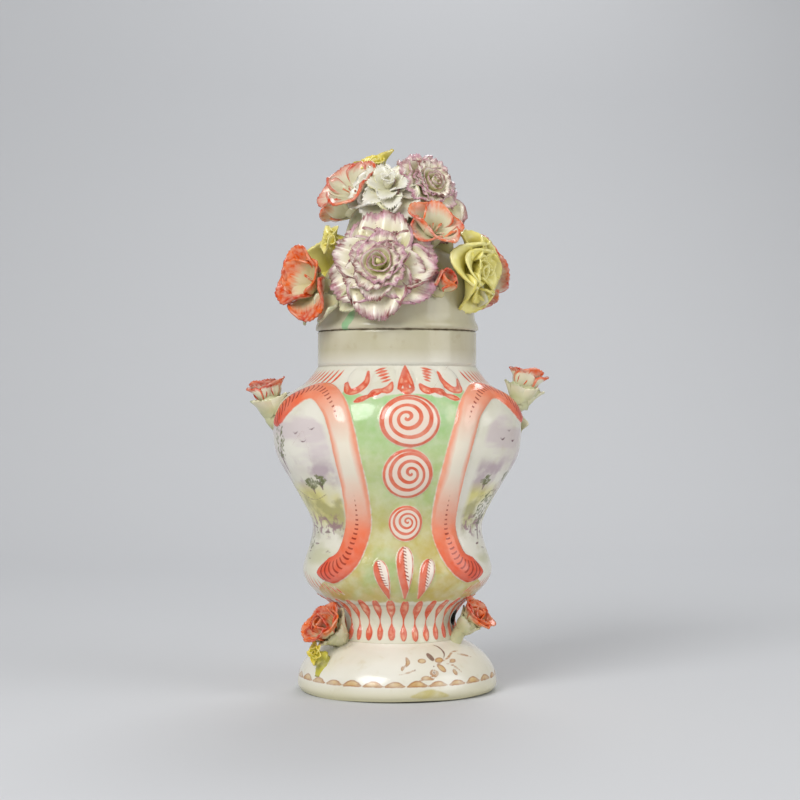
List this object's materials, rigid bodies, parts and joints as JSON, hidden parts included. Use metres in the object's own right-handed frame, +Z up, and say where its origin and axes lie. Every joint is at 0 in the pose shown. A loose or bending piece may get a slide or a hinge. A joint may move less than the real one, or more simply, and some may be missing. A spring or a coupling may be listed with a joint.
{
  "type": "lidded vase",
  "caption": "Inverted-pear porcelain vase on a fluted stem and domed foot, with scroll-framed panels and a lift-off cover heaped with modelled flowers.",
  "frame": {"origin": "centre of the ring that the vase stands on, on the surface under it", "axes": "+Z up along the vase's axis, -Y towards the front green panel, +X towards the right landscape panel as seen from the front"},
  "size_m": [0.1494, 0.1133, 0.2713],
  "materials": {
    "glazed_porcelain": "clear gloss glaze over a warm grey-white body, with pits and specks",
    "enamelled_porcelain": "clear gloss glaze with green ground, orange-red scrolls and painted panels in overglaze enamel",
    "purple_edged_glaze": "gloss glaze, petals edged in purple enamel",
    "white_glaze": "gloss glaze, plain",
    "red_edged_glaze": "gloss glaze, petals edged in orange-red enamel",
    "yellow_glaze": "gloss yellow enamel",
    "leaf_glaze": "gloss glaze, tinted pale green"
  },
  "bodies": {
    "vase": {"foot": "glazed_porcelain", "stem": "glazed_porcelain", "body": "enamelled_porcelain", "neck": "glazed_porcelain", "left_shoulder_calyx": "leaf_glaze", "left_shoulder_head": "red_edged_glaze", "right_shoulder_calyx": "leaf_glaze", "right_shoulder_head": "red_edged_glaze", "left_foot_calyx": "leaf_glaze", "left_foot_head": "red_edged_glaze", "right_foot_calyx": "leaf_glaze", "right_foot_head": "red_edged_glaze", "foot_yellow_flower": "yellow_glaze", "right_shoulder_leaf": "leaf_glaze"},
    "cover": {"cover_dome": "glazed_porcelain", "locating_flange": "glazed_porcelain", "flower_mound": "glazed_porcelain", "front_carnation_petals": "purple_edged_glaze", "front_carnation_heart": "purple_edged_glaze", "yellow_rose_petals": "yellow_glaze", "yellow_rose_heart": "yellow_glaze", "left_anemone": "red_edged_glaze", "white_carnation": "white_glaze", "top_carnation_petals": "purple_edged_glaze", "top_carnation_heart": "purple_edged_glaze", "upper_left_anemone": "red_edged_glaze", "right_anemone": "red_edged_glaze", "top_narcissus": "yellow_glaze", "small_yellow_flower": "yellow_glaze", "red_bud": "red_edged_glaze", "back_carnation_petals": "purple_edged_glaze", "back_carnation_heart": "purple_edged_glaze", "back_yellow_rose_petals": "yellow_glaze", "back_yellow_rose_heart": "yellow_glaze", "back_anemone": "red_edged_glaze", "back_white_carnation": "white_glaze", "upper_back_anemone": "red_edged_glaze", "back_narcissus": "yellow_glaze", "front_bract": "leaf_glaze", "left_leaf": "leaf_glaze", "right_leaf": "leaf_glaze", "far_right_leaf": "leaf_glaze", "back_right_leaf": "leaf_glaze", "back_left_leaf": "leaf_glaze", "far_left_leaf": "leaf_glaze"}
  },
  "joints": [
    {"name": "cover_lift", "type": "slide", "parent": "vase", "child": "cover", "axis": [0, 0, 1], "range_m": [0, 0.08]}
  ]
}
